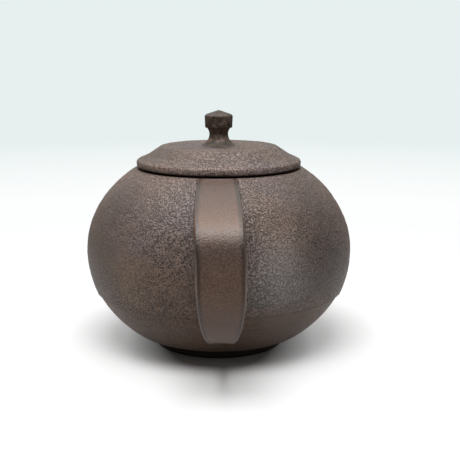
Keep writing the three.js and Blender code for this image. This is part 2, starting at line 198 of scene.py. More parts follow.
body_outline = (base + trimmed_side[2:] + waist_side + shoulder_side[1:-2] + rim[:-1] + inside
                + [(0, inside[-1][1])])
body = throw("body_shell", body_outline, BODY_STEPS)

PLAIN_RIM = 3 * MM             # ring round the mouth that was wiped smooth
SKIN_START = 0.1 * MM          # how far below the seam's level the skin starts
SKIN_FADE = 2 * MM             # height below the mouth over which it ends
SEAM_REACH = 2.2 * MM          # how far above and below the seam the clay wavers
SKIN_LUMPS = ((1.9 * MM, 0.24 * MM), (14 * MM, 0.3 * MM))   # size and depth, fine and slow
SEAM_LUMPS = (2.8 * MM, 0.5 * MM)
SHELL_EDGE = 50                # degrees: blunter edges of the thin pieces are shaded smooth

skin = body.vertex_groups.new(name="skin")
seam = body.vertex_groups.new(name="seam")
for vertex in body.data.vertices:
    x, y, z = vertex.co
    faces_out = vertex.normal.dot((x, y, z - BELLY_HEIGHT)) > 0
    if not faces_out or math.hypot(x, y) <= MOUTH_RADIUS + PLAIN_RIM:
        continue
    if z > SEAM_HEIGHT - SKIN_START:
        skin.add([vertex.index], min(1, (mouth_height - z) / SKIN_FADE), "REPLACE")
    nearness = 1 - abs(z - SEAM_HEIGHT) / SEAM_REACH
    if nearness > 0:
        seam.add([vertex.index], nearness, "REPLACE")
for lump_size, lump_depth in SKIN_LUMPS:
    uneven(body, "skin", lump_size, lump_depth)
uneven(body, "seam", *SEAM_LUMPS)
round_off(body, SHELL_EDGE)


def linear(hex_colour):
    """A colour written as sRGB hex, as linear light."""
    parts = [(hex_colour >> shift & 255) / 255 for shift in (16, 8, 0)]
    return (*(p / 12.92 if p <= 0.04045 else ((p + 0.055) / 1.055) ** 2.4 for p in parts), 1)


def add(tree, kind, inputs=None, stops=(), **settings):
    """Adds a node with its settings. An input takes a value, a socket to link to it or a node,
    whose first output in use is linked. A ramp takes its stops as (position, colour)."""
    node = tree.nodes.new("ShaderNode" + kind)
    for setting, value in settings.items():
        setattr(node, setting, value)
    for socket, value in (inputs or {}).items():
        if isinstance(value, bpy.types.Node):
            value = next(output for output in value.outputs if output.enabled)
        if isinstance(value, bpy.types.NodeSocket):
            tree.links.new(value, node.inputs[socket])
        else:
            node.inputs[socket].default_value = value
    for end, stop in zip((0, 1), stops[::max(1, len(stops) - 1)]):
        node.color_ramp.elements[end].position = stop[0]
        node.color_ramp.elements[end].color = stop[1]
    for position, colour in stops[1:-1]:
        node.color_ramp.elements.new(position).color = colour
    return node


def new_material(name):
    """A material without nodes yet, and its node tree."""
    material = bpy.data.materials.new(name)
    material.use_nodes = True
    material.node_tree.nodes.clear()
    return material, material.node_tree


WRINKLE = 0.7 * MM             # from one crease of the crepe skin to the next
WRINKLE_WAVES = 1.3            # waves of the noise between two creases
CREASE_EDGES = (0.35, 0.56)    # noise at a crease's bottom and on the ridge beside it
CREASE_DEPTH = 1.2 * MM        # deeper than it is, so that it shows at this size
CREASE_SHADE_TONES = (0.6, 0.24)     # painted shade in the creases, in calm and in darker patches
# painted light on the ridges of the crepe skin
RIDGE_LIGHT_TONE = 1.2
CALM_LEVELS = (48 * MM, 60 * MM)    # levels between which the skin calms down to the mouth
CALM_SHARE = 0.4               # share of the relief that is left there
CALM_RELIEF = 0.6              # the relief's mean level
SKIN_ONSET = (-1 * MM, 3 * MM)      # levels from the seam between which the skin sets in
SKIN_BELOW = 0.35              # share of it that the trimming left
WEAR_PATCHES = (0.4, 0.6)      # noise in the patches where the relief is worn, and outside
WEAR = (0.75, 1)
CREASE_SHADE_PATCH = 16 * MM            # size of the patches where the creases get the deepest painted shade
CREASE_SHADE_LEVELS = (0.44, 0.62)
CREASE_SHADE_PLACES = [((-16, -47, 45), 22, 0.18),   # place and reach in mm, and the painted shade in the creases there
                 ((35, -33, 48), 20, 0.1),
                 ((19, -46, 42), 16, 0.62)]
# The grey mark low on the right is a flame mark with a painted sheen, and the two brown marks low
# on the left are flame marks. The dark marks to the right, at both upper sides, on the left side
# and on the lid's left are painted shade, the small one in front of the knob is its painted shadow,
# and the pale mark high on the left is a painted highlight.
FLAME_AND_PAINTED_LIGHT_MARKS = [((22, -46, 33), 24, 0x9B9492),   # place and reach in mm; flame marks, and marks of painted light and shade
           ((37, -34, 44), 26, 0x574841),
           ((34, -26, 62), 20, 0x564842),
           ((-31, -40, 30), 18, 0x8A715B),
           ((-20, -47, 30), 20, 0x765E4E),
           ((-18, -38, 64), 18, 0x796962),
           ((-42, -28, 44), 22, 0x63534A),
           ((-37, -22, 60), 18, 0x5C4E47),
           ((-25, -11, 75), 18, 0x62534A),
           ((0, -7, 77), 8, 0x40332A)]
MARK_STRENGTH = 0.9            # of such a mark in its middle
KILN_PATCH = 30 * MM           # size of the fire's colour patches
FIRE_COLOURS = [(0.36, 0x725F52), (0.5, 0x715F56), (0.64, 0x6E605F)]
WARM_LEVELS = (-2 * MM, 6 * MM)     # levels from the seam between which the warm clay ends
WARM_SHARE = 0.7
WARM_CLAY = 0x83634C
LOW_SHADE_LEVELS = (-6 * MM, 0)     # levels from the seam between which painted shade low on the body fades out upwards
LOW_SHADE_TONE = 0.74
SEAM_SHADOW = (0.2 * MM, 0.7 * MM)    # half widths of the painted shadow line in the seam's step and of its soft edge
SEAM_SHADOW_TONE = 0.62
TURNING_MARK = 0.7 * MM        # between the lines of the trimming tool
TURNING_WAVES = 60             # noise waves in a metre along those lines
GRAIN = 0.4 * MM               # sand grains, drawn about twice as coarse as they are
GRAIN_LEVELS = (0.3, 0.7)      # noise between which a surface goes from shiny to dull
SKIN_ROUGHNESS = (0.38, 0.58)
SAND_STRENGTH = 0.8
SAND_DEPTH = 0.12 * MM


def near(tree, place, centre, reach):
    """A node that is strongest at a point and 0 from a reach on, both given in millimetres."""
    away = add(tree, "VectorMath", {0: place, 1: [c * MM for c in centre]}, operation="DISTANCE")
    return add(tree, "MapRange", {
        "Value": away, "From Max": reach * MM, "To Min": MARK_STRENGTH, "To Max": 0},
        interpolation_type="SMOOTHSTEP")


def sanded(tree, place, grain, roughness):
    """The sand grains in the clay, of a size, and the roughness that they give the surface."""
    grains = add(tree, "TexNoise", {"Vector": place, "Scale": 1 / grain, "Detail": 2})
    return grains, add(tree, "MapRange", {
        "Value": grains, "From Min": GRAIN_LEVELS[0], "From Max": GRAIN_LEVELS[1],
        "To Min": roughness[0], "To Max": roughness[1]})


# Crepe-skinned stoneware: unglazed, iron-bearing, fired dark. Its creases wander and meet like
# those of fine leather; painted shade darkens them, deepest in some patches, and painted light
# brightens the ridges. They get calmer near the mouth and all but end at the seam, where the
# trimmed clay is warmer and plainer, with a painted shadow line along the seam and painted shade
# on the clay below it. The ridges are satin, with sand grains that glint. The flame left grey and
# brown marks; further marks are painted shade and a painted highlight.
crepe_clay, tree = new_material("crepe_stoneware")
place = add(tree, "TexCoord").outputs["Object"]
wander = add(tree, "TexNoise", {
    "Vector": place, "Scale": WRINKLE_WAVES / WRINKLE, "Detail": 1, "Roughness": 0.5,
    "Distortion": 0.8}, name="wrinkles")
ridges = add(tree, "MapRange", {
    "Value": wander, "From Min": CREASE_EDGES[0], "From Max": CREASE_EDGES[1]},
    interpolation_type="SMOOTHSTEP")
height_axis = add(tree, "SeparateXYZ", {"Vector": place})
from_seam = add(tree, "Math", {0: height_axis.outputs["Z"], 1: SEAM_HEIGHT}, operation="SUBTRACT")
above_seam = add(tree, "MapRange", {
    "Value": from_seam, "From Min": SKIN_ONSET[0], "From Max": SKIN_ONSET[1], "To Min": SKIN_BELOW,
    "To Max": 1})
turning_lines = add(tree, "Mapping", {
    "Vector": place, "Scale": (TURNING_WAVES, TURNING_WAVES, 1 / TURNING_MARK)})
turning = add(tree, "TexNoise", {"Vector": turning_lines, "Scale": 1, "Detail": 3})
patches = add(tree, "TexNoise", {
    "Vector": place, "Scale": 1 / KILN_PATCH, "Detail": 2, "Roughness": 0.55})
worn = add(tree, "MapRange", {
    "Value": patches, "From Min": WEAR_PATCHES[0], "From Max": WEAR_PATCHES[1], "To Min": WEAR[0],
    "To Max": WEAR[1]})
calm = add(tree, "MapRange", {
    "Value": height_axis.outputs["Z"], "From Min": CALM_LEVELS[0], "From Max": CALM_LEVELS[1],
    "To Min": 1, "To Max": CALM_SHARE}, name="calm")
calmed = add(tree, "Mix", {"Factor": calm, "A": CALM_RELIEF, "B": ridges})
relief = add(tree, "Mix", {"Factor": above_seam, "A": turning, "B": calmed})
kiln_and_painted_colour = add(tree, "ValToRGB", {"Fac": patches.outputs["Color"]},
            stops=[(level, linear(colour)) for level, colour in FIRE_COLOURS])
# Flame marks, painted shade and a painted highlight are mixed into the fired colour
for centre, reach, colour in FLAME_AND_PAINTED_LIGHT_MARKS:
    kiln_and_painted_colour = add(tree, "Mix", {
        "Factor": near(tree, place, centre, reach), "A": kiln_and_painted_colour, "B": linear(colour)},
        data_type="RGBA")
warmth = add(tree, "MapRange", {
    "Value": from_seam, "From Min": WARM_LEVELS[0], "From Max": WARM_LEVELS[1],
    "To Min": WARM_SHARE, "To Max": 0})
kiln_and_painted_colour = add(tree, "Mix", {"Factor": warmth, "A": kiln_and_painted_colour, "B": linear(WARM_CLAY)}, data_type="RGBA")
# Painted shade in the creases, deepest in some patches and places, and painted light on the ridges
crease_shade_patches = add(tree, "TexNoise", {"Vector": place, "Scale": 1 / CREASE_SHADE_PATCH, "Detail": 1})
crease_shade = add(tree, "MapRange", {
    "Value": crease_shade_patches, "From Min": CREASE_SHADE_LEVELS[0], "From Max": CREASE_SHADE_LEVELS[1],
    "To Min": CREASE_SHADE_TONES[0], "To Max": CREASE_SHADE_TONES[1]}, name="painted_crease_shade")
for centre, reach, tone in CREASE_SHADE_PLACES:
    crease_shade = add(tree, "Mix", {
        "Factor": near(tree, place, centre, reach), "A": crease_shade, "B": tone})
painted_crease_and_ridge_light = add(tree, "MapRange", {
    "Value": relief, "To Min": crease_shade, "To Max": RIDGE_LIGHT_TONE}, name="painted_ridge_light")
# Painted shade: the clay below the seam is darkened, where the pot shades itself; the lid's copy
# uses this node to paint light on its rim
painted_low_shade = add(tree, "MapRange", {
    "Value": height_axis.outputs["Z"], "From Min": SEAM_HEIGHT + LOW_SHADE_LEVELS[0],
    "From Max": SEAM_HEIGHT + LOW_SHADE_LEVELS[1], "To Min": LOW_SHADE_TONE, "To Max": 1}, name="level")
# Painted shadow along the seam, where the trimmed clay steps in
seam_distance = add(tree, "Math", {0: from_seam}, operation="ABSOLUTE")
seam_shadow = add(tree, "MapRange", {
    "Value": seam_distance, "From Min": SEAM_SHADOW[0], "From Max": SEAM_SHADOW[1], "To Min": SEAM_SHADOW_TONE,
    "To Max": 1})
shade = add(tree, "Math", {0: painted_low_shade, 1: seam_shadow}, operation="MULTIPLY")
dark = add(tree, "Math", {0: painted_crease_and_ridge_light, 1: shade}, operation="MULTIPLY")
shaded = add(tree, "Mix", {
    "Factor": 1.0, "A": kiln_and_painted_colour, "B": dark}, data_type="RGBA", blend_type="MULTIPLY")
grains, sheen = sanded(tree, place, GRAIN, SKIN_ROUGHNESS)
sand = add(tree, "Bump", {
    "Height": grains, "Strength": SAND_STRENGTH, "Distance": SAND_DEPTH}, name="sand_relief")
bump = add(tree, "Bump", {
    "Height": relief, "Strength": worn, "Distance": CREASE_DEPTH, "Normal": sand},
    name="skin_relief")
fired_clay = add(tree, "BsdfPrincipled", {
    "Base Color": shaded, "Roughness": sheen, "Normal": bump, "IOR": 1.5})
add(tree, "OutputMaterial", {"Surface": fired_clay})

body.data.materials.append(crepe_clay)
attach(body, "pot")
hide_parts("body")

# Foot ring
# A ring of the same clay, turned on the wheel and luted under the body. It lifts the rounded
# underside off the table, and its face is trimmed smooth.

foot_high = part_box("foot_ring")[1]
FOOT_WIDTH = 4.6 * MM
FOOT_FLARE = 0.7 * MM          # how much wider the ring is where it meets the body
FOOT_BURY = 0.2 * MM           # how far it goes up into the body
FOOT_SPREAD = 0.5 * MM         # how far the slip spreads past the flare
FOOT_ROUNDINGS = (0.7 * MM, 1 * MM)   # of its edges, and where its sides start to flare
FOOT_SPACING = 0.7 * MM
FOOT_STEPS = 240
RING_EDGE = 40                 # degrees: blunter edges of the solid rings are shaded smooth

foot_outer = foot_high.x - FOOT_FLARE
foot_inner = foot_outer - FOOT_WIDTH
foot_top = body_bottom + FOOT_BURY
flare_bottom = foot_top - MM
foot_outline = softened([
    (foot_inner + MM, 0, 0), (foot_outer, 0, FOOT_ROUNDINGS[0]),
    (foot_outer + FOOT_FLARE * 0.5, flare_bottom, FOOT_ROUNDINGS[1]),
    (foot_outer + FOOT_FLARE + FOOT_SPREAD, foot_top, 0),
    (foot_inner - FOOT_FLARE - FOOT_SPREAD, foot_top, 0),
    (foot_inner - FOOT_FLARE * 0.5, flare_bottom, FOOT_ROUNDINGS[1]),
    (foot_inner, 0, FOOT_ROUNDINGS[0]), (foot_inner + MM, 0, 0)], FOOT_SPACING)
foot = throw("turned_foot", foot_outline, FOOT_STEPS)
round_off(foot, RING_EDGE)

# Trimmed stoneware: the same fired clay where a turning tool cut it. Fine level lines run round
# it, and the cut face is smoother than the crepe skin. Its colour is painted shade, a good deal
# darker than the clay, because these parts sit in the shade of the pot.
# painted shade: the cut clay's colour darkened to the shade these parts sit in
TURNED_SHADE_TONES = (0x221B16, 0x342A23)
TURNED_ROUGHNESS = (0.5, 0.68)
TURNED_WAVES = 40              # noise waves in a metre along the lines
TURNED_RELIEF = (0.7, 0.06 * MM)      # strength and depth of the lines
TURNED_SAND = (0.5, 0.03 * MM)        # and of the sand grains between them
trimmed_clay, tree = new_material("trimmed_stoneware")
place = add(tree, "TexCoord").outputs["Object"]
turning_lines = add(tree, "Mapping", {
    "Vector": place, "Scale": (TURNED_WAVES, TURNED_WAVES, 1 / TURNING_MARK)})
turning = add(tree, "TexNoise", {"Vector": turning_lines, "Scale": 1, "Detail": 3})
grains, sheen = sanded(tree, place, GRAIN, TURNED_ROUGHNESS)
tint = add(tree, "Mix", {
    "Factor": turning, "A": linear(TURNED_SHADE_TONES[0]), "B": linear(TURNED_SHADE_TONES[1])},
    data_type="RGBA")
bump = add(tree, "Bump", {
    "Height": turning, "Strength": TURNED_RELIEF[0], "Distance": TURNED_RELIEF[1]})
fine = add(tree, "Bump", {
    "Height": grains, "Strength": TURNED_SAND[0], "Distance": TURNED_SAND[1], "Normal": bump})
fired_clay = add(tree, "BsdfPrincipled", {
    "Base Color": tint, "Roughness": sheen, "Normal": fine, "Specular IOR Level": 0.3})
add(tree, "OutputMaterial", {"Surface": fired_clay})

foot.data.materials.append(trimmed_clay)
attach(foot, "pot")
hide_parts("foot_ring")

# Spout
# A short tapering tube, thrown and bent while soft, then cut to the body's curve and luted on
# with slip opposite the handle. Its skin is the same crepe clay as the body's.

spout_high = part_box("spout")[1]
SPOUT_REACH = 82 * MM          # from the pot's axis to the lip's far side, before it is levelled
SPOUT_ROOT_HEIGHT = 42 * MM
SPOUT_ROOT_RADIUS = 14 * MM
SPOUT_LIP_RADIUS = 6.4 * MM
SPOUT_LIP_BORE = 4 * MM
SPOUT_HOLE_RADIUS = 9.6 * MM
SPOUT_SAG = 2 * MM             # how far the tube bows below a straight line
SPOUT_FLARE = 1.6              # above 1 the tube widens mostly near the body
SPOUT_BURY = 20 * MM           # length at the root that is cut away to the body's shape
SPOUT_LEVELLED = 0.72          # share of the spout above which its rings turn level
SPOUT_LIP_EDGE = 0.7 * MM
SPOUT_LIP_FLATS = 4            # in each of the lip's two rounded edges
SPOUT_SIDES = 96
SPOUT_FILLET = (5.2 * MM, 2.6 * MM)   # reach and rise of the slip that is smoothed round a joint
SKIN_DEPTH = 0.5 * MM          # how far a luted piece goes into the body's surface
CUTTER_SPACING = 2 * MM
CUTTER_STEPS = 180


def body_radius(height):
    """Radius of the body's outside at a level."""
    drop = SHOULDER_RISE if height >= BELLY_HEIGHT else WAIST_DROP
    drop = drop if height >= SEAM_HEIGHT else TRIMMED_DROP
    return BELLY_RADIUS * math.sqrt(1 - ((height - BELLY_HEIGHT) / drop) ** 2)


def sweep(stations):
    """Draws the selected outline on through stations of (place, heading angle, width, size)."""
    for before, after in zip(stations, stations[1:]):
        step = {"value": after[0] - before[0]}
        bpy.ops.mesh.extrude_region_move(TRANSFORM_OT_translate=step)
        bpy.ops.transform.rotate(value=-(after[1] - before[1]), orient_axis="X",
                                 center_override=after[0])
        wider = after[2] / before[2]
        larger = after[3] / before[3]
        bpy.ops.transform.resize(value=(wider, larger, larger), center_override=after[0])


def lute(piece, cutter, reach, rise):
    """Swells a piece where it nears the body, like slip smoothed into the joint, and cuts it."""
    joint = piece.vertex_groups.new(name="joint")
    joint.add([v.index for v in piece.data.vertices], 1, "REPLACE")
    finish_with(piece, "VERTEX_WEIGHT_PROXIMITY", vertex_group="joint", target=cutter,
                proximity_mode="GEOMETRY", proximity_geometry={"FACE"}, min_dist=reach,
                max_dist=0, falloff_type="SHARP")
    finish_with(piece, "DISPLACE", strength=rise, mid_level=0, vertex_group="joint")
    finish_with(piece, "BOOLEAN", operation="DIFFERENCE", object=cutter, solver="EXACT")


envelope_outline = [(0, body_bottom)]
envelope_outline += side_of_ellipse(body_bottom, BELLY_HEIGHT, TRIMMED_DROP, -SKIN_DEPTH,
                                    CUTTER_SPACING)
envelope_outline += side_of_ellipse(BELLY_HEIGHT, mouth_height - SKIN_DEPTH, SHOULDER_RISE,
                                    -SKIN_DEPTH, CUTTER_SPACING)[1:]
envelope_outline += [(0, envelope_outline[-1][1])]
envelope = throw("body_cutter", envelope_outline, CUTTER_STEPS)

spout_rise = spout_high.z - SPOUT_ROOT_HEIGHT
spout_root = Vector((0, body_radius(SPOUT_ROOT_HEIGHT), SPOUT_ROOT_HEIGHT))
spout_slope = math.atan2(spout_rise, SPOUT_REACH - spout_root.y - SPOUT_LIP_RADIUS)
spout_lip = Vector((0, SPOUT_REACH - SPOUT_LIP_RADIUS / math.sin(spout_slope), spout_high.z))
sag = Vector((0, math.sin(spout_slope), -math.cos(spout_slope))) * 2 * SPOUT_SAG
spout_middle = (spout_root + spout_lip) / 2 + sag


def spout_station(t, root_radius, lip_radius):
    """Place, heading and half widths of the tube's ring at t. The rings turn level at the lip."""
    past_root = max(0, t)
    point = curve(spout_root, spout_middle, spout_lip, past_root)
    along = (1 - past_root) * (spout_middle - spout_root) + past_root * (spout_lip - spout_middle)
    point = point + along.normalized() * (t - past_root) * SPOUT_BURY
    radius = lip_radius + (root_radius - lip_radius) * (1 - past_root) ** SPOUT_FLARE
    heading = math.atan2(along.z, along.y)
    turn = max(0, (t - SPOUT_LEVELLED) / (1 - SPOUT_LEVELLED)) * (math.pi / 2 - heading)
    return point, heading + turn, radius, radius / math.cos(turn)


# The tube's rings run from inside the body (-1) over its root (0) to just before the lip (1),
# over the lip's two rounded edges, and back down the bore.
outer_shares = [-1 + i * 0.05 for i in range(20)] + [i * 0.02 for i in range(49)]
bore_shares = [0.96] + [i * 0.05 for i in range(19, 0, -1)] + [0, -0.3, -0.6, -1]
stations = [spout_station(t, SPOUT_ROOT_RADIUS, SPOUT_LIP_RADIUS) for t in outer_shares]
lip_slope = (spout_lip.z - spout_middle.z) / (spout_lip - spout_middle).length
lip_lean = (spout_lip.y - spout_middle.y) / (spout_lip.z - spout_middle.z)
for middle_radius, start_angle in ((SPOUT_LIP_RADIUS - SPOUT_LIP_EDGE, 0),
                                   (SPOUT_LIP_BORE + SPOUT_LIP_EDGE, math.pi / 2)):
    for i in range(SPOUT_LIP_FLATS + 1):
        angle = start_angle + i * math.pi / 2 / SPOUT_LIP_FLATS
        radius = middle_radius + SPOUT_LIP_EDGE * math.cos(angle)
        drop = SPOUT_LIP_EDGE * (1 - math.sin(angle))
        middle = spout_lip - Vector((0, drop * lip_lean, drop))
        stations.append((middle, math.pi / 2, radius, radius / lip_slope))
stations += [spout_station(t, SPOUT_HOLE_RADIUS, SPOUT_LIP_BORE) for t in bore_shares]
first_place, first_heading, first_radius = stations[0][:3]
bpy.ops.object.select_all(action="DESELECT")
bpy.ops.mesh.primitive_circle_add(vertices=SPOUT_SIDES, radius=first_radius,
                                  location=first_place,
                                  rotation=(first_heading - math.pi / 2, 0, 0))
spout = bpy.context.object
spout.name = spout.data.name = "spout_tube"
bpy.ops.object.transform_apply(location=True, rotation=True, scale=True)
bpy.ops.object.mode_set(mode="EDIT")
sweep(stations)
bpy.ops.mesh.select_all(action="DESELECT")
bpy.ops.mesh.select_non_manifold()
bpy.ops.mesh.bridge_edge_loops()
face_outwards()
lute(spout, envelope, *SPOUT_FILLET)
round_off(spout, SHELL_EDGE)

toward_lip = spout_middle - spout_root
hole_turn = math.atan2(toward_lip.z, toward_lip.y) - math.pi / 2
bpy.ops.object.select_all(action="DESELECT")
bpy.ops.mesh.primitive_cylinder_add(vertices=SPOUT_SIDES, radius=SPOUT_HOLE_RADIUS,
                                    depth=2 * (SPOUT_HOLE_RADIUS + WALL),
                                    location=spout_root, rotation=(hole_turn, 0, 0))
hole = bpy.context.object
finish_with(body, "BOOLEAN", operation="DIFFERENCE", object=hole, solver="EXACT")
bpy.data.objects.remove(hole)
round_off(body, SHELL_EDGE)

spout.data.materials.append(crepe_clay)
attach(spout, "pot")
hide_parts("spout")

# Strainer
# A thin dome of the same clay, pressed, pierced with round holes and luted over the opening
# behind the spout. It keeps the leaves in the pot, and is seen only with the lid off.

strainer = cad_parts["strainer"]
strainer.material_slots[0].material = trimmed_clay

# Handle
# A flat strap pulled from the same clay, bent to a loop and luted on at the shoulder and low on
# the body. It was wiped smooth with a wet leather, so it is plainer and redder than the body.

strap_low, strap_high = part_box("handle")
STRAP_WIDTH = strap_high.x - strap_low.x
STRAP_ROOT_WIDTH = 13.7 * MM
STRAP_TAIL_WIDTH = 8.6 * MM
STRAP_THICKNESS = 4.8 * MM
STRAP_DISH = 0.35 * MM         # hollow across the outer face
STRAP_EDGE = 0.6 * MM          # easing along the strap's four edges
STRAP_EDGE_FLATS = 3
STRAP_SHARP = 60               # degrees: only edges this sharp are eased
STRAP_EDGE_SHADE = 1.8 * MM        # reach of the painted shade line inside each edge
STRAP_TOP_HEIGHT = 67.5 * MM
STRAP_SIDE_HEIGHT = 50 * MM    # level where the outer face runs straight down
STRAP_TAIL_HEIGHT = 15.2 * MM
STRAP_TOP_PULL = 25 * MM       # how long the curve keeps its direction at the shoulder
STRAP_UPPER_PULL = 17.5 * MM
STRAP_LOWER_PULL = 16 * MM
STRAP_TAIL_PULL = 26 * MM
STRAP_TAIL_DIP = 1.7 * MM      # how far the tail's curve first drops, going outwards
STRAP_TAPER_TOP = 41 * MM      # level below which the strap narrows
STRAP_TAPER_DROP = 28.5 * MM   # height over which it would narrow to nothing
STRAP_BURY = 5 * MM            # length of each end that is cut away to the body's shape
STRAP_LEAN_TOP = -0.4 * MM     # the hand-set strap stands a little askew
STRAP_LEAN_LOW = 0.65 * MM
STRAP_FILLET = (2.4 * MM, 0.7 * MM)
STRAP_COLUMNS = 12
STRAP_BEND_STEPS = 52
STRAP_BURIED_STEPS = 5

strap_reach = strap_low.y
root_reach = -body_radius(STRAP_TOP_HEIGHT)
tail_reach = -body_radius(STRAP_TAIL_HEIGHT)
upper_bend = [Vector((0, root_reach, STRAP_TOP_HEIGHT)),
              Vector((0, root_reach - STRAP_TOP_PULL, STRAP_TOP_HEIGHT)),
              Vector((0, strap_reach, STRAP_SIDE_HEIGHT + STRAP_UPPER_PULL)),
              Vector((0, strap_reach, STRAP_SIDE_HEIGHT))]
lower_bend = [Vector((0, strap_reach, STRAP_SIDE_HEIGHT)),
              Vector((0, strap_reach, STRAP_SIDE_HEIGHT - STRAP_LOWER_PULL)),
              Vector((0, tail_reach - STRAP_TAIL_PULL, STRAP_TAIL_HEIGHT - STRAP_TAIL_DIP)),
              Vector((0, tail_reach, STRAP_TAIL_HEIGHT))]


def cubic(a, b, c, d, t):
    """Point on a cubic curve."""
    return (1 - t) ** 3 * a + 3 * t * (1 - t) ** 2 * b + 3 * t * t * (1 - t) * c + t ** 3 * d


def strap_width(place):
    """Width of the strap at a place: it widens from the root and narrows towards the tail."""
    outward = (place.y - root_reach) / (strap_reach - root_reach)
    widening = STRAP_ROOT_WIDTH + (STRAP_WIDTH - STRAP_ROOT_WIDTH) * max(0, outward)
    fall = min(1, max(0, (STRAP_TAPER_TOP - place.z) / STRAP_TAPER_DROP))
    return max(STRAP_TAIL_WIDTH, min(widening, STRAP_WIDTH * math.sqrt(1 - fall * fall)))


def strap_lean(place):
    """How far the strap's middle stands to one side at a place."""
    share = min(1, max(0, (STRAP_TOP_HEIGHT - place.z) / (STRAP_TOP_HEIGHT - STRAP_SIDE_HEIGHT)))
    return STRAP_LEAN_TOP + (STRAP_LEAN_LOW - STRAP_LEAN_TOP) * share


strap_line = [upper_bend[0] + Vector((0, STRAP_BURY - i * MM, 0))
              for i in range(STRAP_BURIED_STEPS)]
strap_line += [cubic(*upper_bend, i / STRAP_BEND_STEPS) for i in range(STRAP_BEND_STEPS)]
strap_line += [cubic(*lower_bend, i / STRAP_BEND_STEPS) for i in range(STRAP_BEND_STEPS + 1)]
inward = (lower_bend[3] - lower_bend[2]).normalized()
strap_line += [strap_line[-1] + inward * i * MM for i in range(1, STRAP_BURIED_STEPS + 1)]
stations = []
for i, point in enumerate(strap_line):
    along = strap_line[min(i + 1, len(strap_line) - 1)] - strap_line[max(i - 1, 0)]
    heading = math.atan2(along.z, along.y) % math.tau
    heading += math.tau if heading < math.pi / 2 else 0
    middle = point + Vector((strap_lean(point), 0, 0))
    stations.append((middle, heading, strap_width(point), 1))

first_width = stations[0][2]
strap = start_outline("strap_handle", stations[0][0] - Vector((first_width / 2, 0, 0)))
for i in range(STRAP_COLUMNS):
    dish = [STRAP_DISH * (1 - (2 * j / STRAP_COLUMNS - 1) ** 2) for j in (i, i + 1)]
    step = {"value": (first_width / STRAP_COLUMNS, 0, dish[0] - dish[1])}
    bpy.ops.mesh.extrude_region_move(TRANSFORM_OT_translate=step)
bpy.ops.mesh.select_all(action="SELECT")
sweep(stations)
face_outwards()
outermost = min(strap.data.polygons, key=lambda face: face.center.y)
inner_side = -1 if outermost.normal.y < 0 else 1
finish_with(strap, "SOLIDIFY", thickness=STRAP_THICKNESS, offset=inner_side)
finish_with(strap, "BEVEL", width=STRAP_EDGE, segments=STRAP_EDGE_FLATS, limit_method="ANGLE",
            angle_limit=math.radians(STRAP_SHARP))
bpy.ops.object.mode_set(mode="EDIT")
face_outwards()
lute(strap, envelope, *STRAP_FILLET)
round_off(strap, RING_EDGE)
bpy.data.objects.remove(envelope)
edge_gap = strap.data.attributes.new("edge_gap", "FLOAT", "POINT")
for vertex in strap.data.vertices:
    from_middle = abs(vertex.co.x - strap_lean(vertex.co))
    edge_gap.data[vertex.index].value = strap_width(vertex.co) / 2 - from_middle

# Wiped stoneware: the clay was smoothed while wet, so its fired face is satin and close, a
# redder brown, with faint streaks where the leather dragged fine sand. Paler and darker bands
# down the strap are painted light and shade, and painted shade darkens a line inside each edge.
WIPING_STREAK = 0.9 * MM       # from one streak to the next, across the strap
STREAK_WAVES = 40              # noise waves in a metre along a streak
STREAK_DEPTH = 0.08 * MM
WIPED_GRAIN = 1.4 * GRAIN      # the wiping closed all but the coarser grains
WIPED_SAND_DEPTH = 0.15 * MM
WIPED_ROUGHNESS = (0.38, 0.52)
FLECK_PATCHES = (0.36, 0.64)
FLECK_TONES = (0.7, 1.26)      # shade of the dark and the pale sand grains
BAND_PATCH = 14 * MM
BAND_WAVE = 4 * MM             # how far the painted light bands wander up and down
STRAP_PAINTED_LIGHT_BANDS = [(22, 0x583F33), (28, 0x583B2C), (34, 0x664A3A), (40, 0x745946),   # painted light and shade down the strap, darkest where it would mirror the dark room; levels in mm
               (46, 0x6E574A), (54, 0x4E3F38), (61, 0x5F4432), (67, 0x524038)]
EDGE_SHADE_TONES = [(0, 1), (0.15, 0.8), (0.27, 0.4), (0.5, 0.42), (1, 1)]   # painted shade from the edge to the line's inner end
band_low = STRAP_PAINTED_LIGHT_BANDS[0][0]
band_high = STRAP_PAINTED_LIGHT_BANDS[-1][0]
wiped_clay, tree = new_material("wiped_stoneware")
place = add(tree, "TexCoord").outputs["Object"]
streak_lines = add(tree, "Mapping", {
    "Vector": place, "Scale": (1 / WIPING_STREAK, STREAK_WAVES, STREAK_WAVES)})
streaks = add(tree, "TexNoise", {"Vector": streak_lines, "Scale": 1, "Detail": 2})
grains, sheen = sanded(tree, place, WIPED_GRAIN, WIPED_ROUGHNESS)
patches = add(tree, "TexNoise", {"Vector": place, "Scale": 1 / BAND_PATCH, "Detail": 2})
height_axis = add(tree, "SeparateXYZ", {"Vector": place})
wavy = add(tree, "Math", {
    0: patches, 1: BAND_WAVE, 2: height_axis.outputs["Z"]}, operation="MULTIPLY_ADD")
along = add(tree, "MapRange", {
    "Value": wavy, "From Min": band_low * MM + BAND_WAVE / 2,
    "From Max": band_high * MM + BAND_WAVE / 2})
painted_light_bands = add(tree, "ValToRGB", {"Fac": along},
            stops=[((height - band_low) / (band_high - band_low), linear(colour))
                   for height, colour in STRAP_PAINTED_LIGHT_BANDS])
fleck = add(tree, "MapRange", {
    "Value": grains, "From Min": FLECK_PATCHES[0], "From Max": FLECK_PATCHES[1],
    "To Min": FLECK_TONES[0], "To Max": FLECK_TONES[1]})
edge_distance = add(tree, "Attribute", attribute_name="edge_gap")
inside_edge = add(tree, "MapRange", {
    "Value": edge_distance.outputs["Fac"], "From Max": STRAP_EDGE_SHADE})
